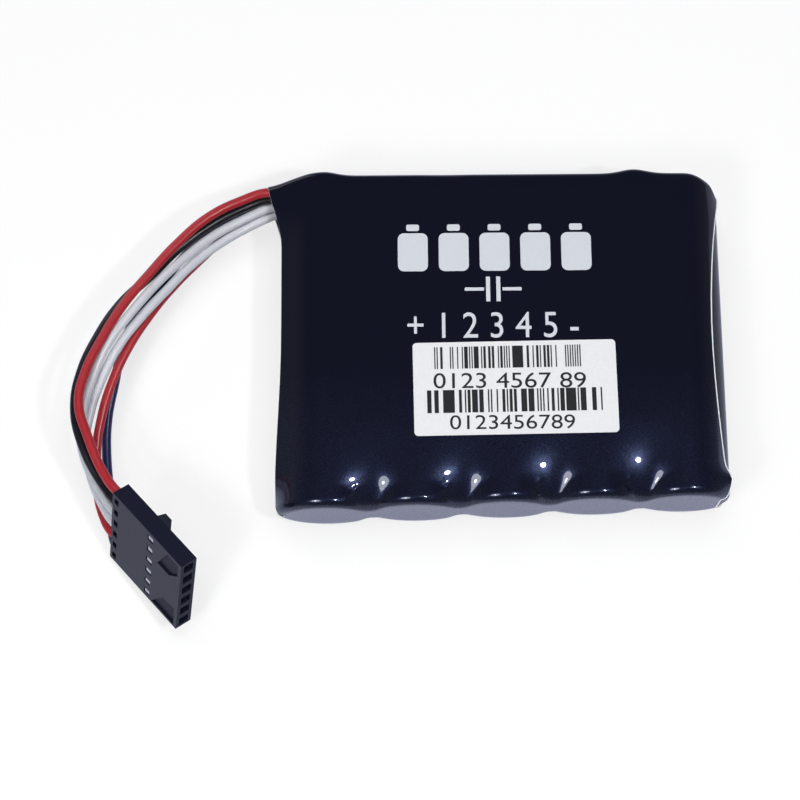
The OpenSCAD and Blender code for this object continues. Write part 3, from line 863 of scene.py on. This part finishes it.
# %% Rubber bungs, board and card
# Butyl rubber is dull and dusty, the solder mask is a glossy green lacquer over a
# woven laminate, and vulcanised fibre is hard, fibrous and the colour of card.
rubber, tree, shader = material("butyl_rubber")
set_values(shader, Roughness=0.7)
wander(tree, shader, grain(tree, shader, 0.3, 0.01), "#1E1E20", "#29292B")

laminate, tree, shader = material("green_solder_mask")
set_values(shader, Roughness=0.3, IOR=1.5)
wander(tree, shader, grain(tree, shader, 0.6, 0.006), "#185032", "#215D3F")

fibre, tree, shader = material("vulcanised_fibre")
set_values(shader, Roughness=0.6)
wander(tree, shader, grain(tree, shader, 0.5, 0.01), "#AEA78F", "#C3BDA7")
print("also:", rubber.name, laminate.name, fibre.name)

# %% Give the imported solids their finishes
finish_of = {"label": label_paper, "cell_can": aluminium, "cell_jacket": jacket,
             "cell_bung": rubber, "positive_lead": tin, "negative_lead": tin,
             "interconnect_board": laminate, "lead_joints": tin, "wire_joints": tin,
             "insulator_card": fibre, "terminal": bronze}
finished = 0
for name, node in nodes.items():
    for start, finish in finish_of.items():
        if name.startswith(start):
            for k in range(len(node.material_slots)):
                node.material_slots[k].material = finish
            finished += 1
print("solids with a finish:", finished)

# %% [markdown]
# ## Print on the film
# The film is printed white before it is shrunk, a layer of ink some hundredths of a
# millimetre thick. Here it shows what the pack is: five cells in a row, the sign for
# a capacitor, and the numbers of the cells between plus and minus. A mask in the film's
# finish could draw them, but its edges would be soft close up. Plates as thin as the
# ink keep them sharp, and as they repeat along a line, Geometry Nodes sets them.

# %% Inks: screen ink on the film, thermal print on the label
# Ink pressed through a mesh dries with a fine pitted face and looks slightly uneven.
ink, tree, shader = material("white_screen_ink")
set_values(shader, Roughness=0.35, IOR=1.5)
wander(tree, shader, grain(tree, shader, 0.15, 0.003), "#C6CAD1", "#D6DAE0")

# A thermal head turns the paper's coating black: matt, and not quite even.
black_ink, tree, shader = material("thermal_print")
set_values(shader, Roughness=0.5)
wander(tree, shader, grain(tree, shader, 0.12, 0.002), "#151518", "#202023")

label_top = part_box("label")[1][2] / MM
ink_t = 0.02
print(f"film top {film_top:.2f}, label top {label_top:.2f} mm")

# %% Tree: a row of equal rounded plates
row_tree, given = new_tree("row_of_plates", Count="Int", Step="Vector", Wide="Float",
                           High="Float", Round="Float", Deep="Float")
outline = add(row_tree, "GeometryNodeCurvePrimitiveQuadrilateral",
              {"Width": given["Wide"], "Height": given["High"]})
soft = add(row_tree, "GeometryNodeFilletCurve", {"Curve": outline.outputs[0],
                                                 "Radius": given["Round"], "Count": 6},
           mode="POLY")
plate = add(row_tree, "GeometryNodeFillCurve", {"Curve": soft.outputs[0]}, mode="NGONS")
thick = add(row_tree, "GeometryNodeExtrudeMesh", {"Mesh": plate.outputs[0],
                                                  "Offset Scale": given["Deep"]})
under = add(row_tree, "GeometryNodeFlipFaces", {"Mesh": plate.outputs[0]})
closed = add(row_tree, "GeometryNodeJoinGeometry")
row_tree.links.new(thick.outputs[0], closed.inputs[0])
row_tree.links.new(under.outputs[0], closed.inputs[0])
along = add(row_tree, "GeometryNodeMeshLine", {"Count": given["Count"],
                                               "Offset": given["Step"]})
row = add(row_tree, "GeometryNodeInstanceOnPoints", {"Points": along.outputs[0],
                                                     "Instance": closed.outputs[0]})
close_tree(row_tree, row.outputs[0], ink)
print(row_tree.name, "has", len(row_tree.nodes), "nodes")


# %% Helpers that grow a row and set it down
def place(piece, x, y, z, turn=0.0):
    """Sets a flat piece down in mm, with its place kept in its mesh."""
    piece.data.transform(Matrix.Translation(Vector((x, y, z)) * MM)
                         @ Matrix.Rotation(math.radians(turn), 4, "Z"))
    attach(piece, "root")


def plates(name, count, step, wide, high, round_r, first):
    """A row of plates on the film, step mm apart, the first one's middle at first."""
    piece = grow(name, row_tree, {
        "Count": count, "Step": Vector((step, 0, 0)) * MM, "Wide": wide * MM,
        "High": high * MM, "Round": round_r * MM, "Deep": 2 * ink_t * MM})
    place(piece, first[0], first[1], film_top - ink_t)


print("ink stands", ink_t, "mm over the film")

# %% Five cells with their caps, and the sign for a capacitor
sign_step, first_sign = 6.0, -13.2
plates("cell_signs", 5, sign_step, 4.4, 5.9, 0.9, (first_sign, 12.5))
plates("cell_sign_caps", 5, sign_step, 1.9, 1.0, 0.3, (first_sign, 16.3))
plates("capacitor_plates", 2, 1.5, 0.6, 3.8, 0.05, (-2.25, 6.75))
plates("capacitor_leads", 2, 5.5, 2.8, 0.5, 0.05, (-4.25, 6.75))

# %% [markdown]
# ## Figures
# Figures are printed with the rest. Blender's text object holds the outlines of a
# font, and its mesh keeps them as plain shapes. Each row is stretched into the box that
# it fills, which is simpler than finding a font size that happens to fit.

# %% Numbers of the cells, between plus and minus
def number_row(name, text, x0, x1, y0, y1, z, finish):
    """Sets figures into a box given in mm, as thin plates of ink at height z."""
    curve = bpy.data.curves.new(name, "FONT")
    curve.body = text
    curve.extrude = 0.5            # any thickness will do, because the box sets it
    curve.resolution_u = 6
    writer = bpy.data.objects.new(name, curve)
    bpy.context.scene.collection.objects.link(writer)
    shape = bpy.data.meshes.new_from_object(
        writer.evaluated_get(bpy.context.evaluated_depsgraph_get()))
    bpy.data.objects.remove(writer)
    low = [min(v.co[k] for v in shape.vertices) for k in range(3)]
    high = [max(v.co[k] for v in shape.vertices) for k in range(3)]
    goal_low, goal_high = (x0, y0, z - ink_t), (x1, y1, z + ink_t)
    for v in shape.vertices:
        v.co = [mix(goal_low[k], goal_high[k], (v.co[k] - low[k]) / (high[k] - low[k])) * MM
                for k in range(3)]
    piece = bpy.data.objects.new(name, shape)
    bpy.context.scene.collection.objects.link(piece)
    shape.materials.clear()
    shape.materials.append(finish)
    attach(piece, "root")
    print(name, len(shape.polygons), "faces")


number_row("cell_numbers", "+ 1 2 3 4 5 -", -14.1, 10.8, -0.7, 3.2, film_top, ink)

# %% [markdown]
# ## Print on the label
# A thermal printer burns two rows of bars and their figures into the paper. The bars
# are modules of one width, black or left out, so a line of points with a random
# choice makes them: the seed is fixed, and the bars carry no number. Drawing each bar
# by hand would take longer and would look no different.

# %% Tree: a row of bars
bar_tree, given = new_tree("bars", Count="Int", Module="Float", High="Float",
                           Seed="Int", Deep="Float")
size = add(bar_tree, "ShaderNodeCombineXYZ", {"X": given["Module"], "Y": given["High"],
                                              "Z": given["Deep"]})
step = add(bar_tree, "ShaderNodeCombineXYZ", {"X": given["Module"]})
bar = add(bar_tree, "GeometryNodeMeshCube", {"Size": size.outputs[0]})
modules = add(bar_tree, "GeometryNodeMeshLine", {"Count": given["Count"],
                                                 "Offset": step.outputs[0]})
black = add(bar_tree, "FunctionNodeRandomValue", {"Probability": 0.5,
                                                  "Seed": given["Seed"]},
            data_type="BOOLEAN")
bars = add(bar_tree, "GeometryNodeInstanceOnPoints", {
    "Points": modules.outputs[0], "Selection": black.outputs["Value"],
    "Instance": bar.outputs[0]})
close_tree(bar_tree, bars.outputs[0], black_ink)
print(bar_tree.name, "has", len(bar_tree.nodes), "nodes")

# %% Two rows of bars and their figures
modules_n = 130
label_turn = 0.7               # degrees: the label was stuck on by hand
for name, x0, x1, y0, y1, seed in (("bars_upper", -10.6, 12.0, -5.4, -2.1, 3),
                                   ("bars_lower", -12.8, 14.3, -12.0, -8.6, 8)):
    module = (x1 - x0) / modules_n
    piece = grow(name, bar_tree, {"Count": modules_n, "Module": module * MM,
                                  "High": (y1 - y0) * MM, "Seed": seed,
                                  "Deep": 2 * ink_t * MM})
    place(piece, x0 + module / 2, (y0 + y1) / 2, label_top, label_turn)

number_row("label_numbers_upper", "0123 4567 89", -10.4, 11.6, -8.3, -6.0, label_top,
           black_ink)
number_row("label_numbers_lower", "0123456789", -8.1, 9.85, -14.4, -12.3, label_top,
           black_ink)

# %% [markdown]
# ## Floor, background and light
# The pack lies on a plain white table. Black gloss shows whatever stands round it, so
# the surroundings matter as much as the lamps: the floor and the horizon are pale,
# and the ceiling is dark, which keeps the flat top deep and lights the bent edges. More
# light would make the floor white too, but it would bleach the label. So part of the
# floor's white is its own, for the camera only, and the rest still takes the shadow.

# %% Floor
floor = bpy.data.objects.new("floor", bpy.data.meshes.new("floor"))
reach_m = 3.0
floor.data.from_pydata([(x * reach_m, y * reach_m, 0)
                        for x, y in ((-1, -1), (1, -1), (1, 1), (-1, 1))],
                       [], [(0, 1, 2, 3)])
bpy.context.scene.collection.objects.link(floor)
print("floor:", 2 * reach_m, "m wide")

# %% Finish of the floor: white laminate, partly glowing where the camera looks
camera_share = 0.65
mirror_share = 0.72            # what gloss sees of the floor is mostly a cool grey
mirror_tint = (0.36, 0.39, 0.6, 1)
table_top, tree, shader = material("white_table")
set_values(shader, Base_Color=linear("#FFFFFF"), Roughness=0.8)
rays = add(tree, "ShaderNodeLightPath")
seen = add(tree, "ShaderNodeMath", {0: rays.outputs["Is Camera Ray"], 1: camera_share},
           operation="MULTIPLY")
mirrored = add(tree, "ShaderNodeMath",
               {0: rays.outputs["Is Glossy Ray"], 1: mirror_share}, operation="MULTIPLY")
share = add(tree, "ShaderNodeMath", {0: seen.outputs[0], 1: mirrored.outputs[0]},
            operation="ADD")
tint = add(tree, "ShaderNodeMix", {0: rays.outputs["Is Camera Ray"], 6: mirror_tint,
                                   7: (1, 1, 1, 1)}, data_type="RGBA")
white = add(tree, "ShaderNodeEmission", {"Color": tint.outputs[2], "Strength": 1.0})
blend = add(tree, "ShaderNodeMixShader", {0: share.outputs[0], 1: shader.outputs[0],
                                          2: white.outputs[0]})
tree.links.new(blend.outputs[0], tree.nodes["Material Output"].inputs["Surface"])
floor.data.materials.append(table_top)
print(table_top.name, "has", len(tree.nodes), "nodes")

# %% Surroundings: a dim room, a little lighter at the horizon
world = bpy.data.worlds.new("surroundings")
bpy.context.scene.world = world
world.use_nodes = True
tree = world.node_tree
direction = add(tree, "ShaderNodeTexCoord").outputs["Generated"]
height = add(tree, "ShaderNodeSeparateXYZ", {0: direction}).outputs["Z"]
room = add(tree, "ShaderNodeValToRGB", {"Fac": height})
room.color_ramp.elements[0].color = (0.16, 0.17, 0.20, 1)
room.color_ramp.elements[1].color = (0.02, 0.025, 0.05, 1)
room.color_ramp.elements[1].position = 0.7
rays = add(tree, "ShaderNodeLightPath")
backdrop = add(tree, "ShaderNodeMix", {0: rays.outputs["Is Camera Ray"],
                                       6: room.outputs["Color"], 7: (1, 1, 1, 1)},
               data_type="RGBA")
tree.links.new(backdrop.outputs[2], tree.nodes["Background"].inputs["Color"])
tree.nodes["Background"].inputs["Strength"].default_value = 1.0
print(world.name, "has", len(tree.nodes), "nodes")

# %% [markdown]
# ## Lamps
# One broad panel overhead lights the table and the label evenly, and a window behind
# draws the soft line along the back. Every small bright spot on the folds is a lamp by
# the lens, mirrored, so there are two: a flash, and a lamp with a wide dim shade that
# gives its spot a grey disc. Point lamps would leave hard shadows, so all are areas.

# %% Lamps: panel, window, flash, and a small lamp in its shade
def lamp(name, place_mm, power, size_mm, shape="SQUARE"):
    """An area lamp of this many watts, turned towards the pack."""
    made = bpy.data.objects.new(name, bpy.data.lights.new(name, "AREA"))
    made.data.shape = shape
    made.data.size = size_mm * MM
    made.data.energy = power
    made.location = Vector(place_mm) * MM
    made.rotation_euler = (aim - made.location).to_track_quat("-Z", "Y").to_euler()
    bpy.context.scene.collection.objects.link(made)
    return made


panel = lamp("overhead_panel", (0, 110, 700), 2.45, 500)
panel.visible_glossy = False
lamp("window", (-420, 560, 380), 0.8, 400)
lamp("flash", (112, -98, 300), 0.33, 30, "DISK")
lamp("ring_lamp", (-165, -185, 300), 0.12, 30, "DISK")
lamp("ring_shade", (-166, -186, 303), 0.36, 140, "DISK")
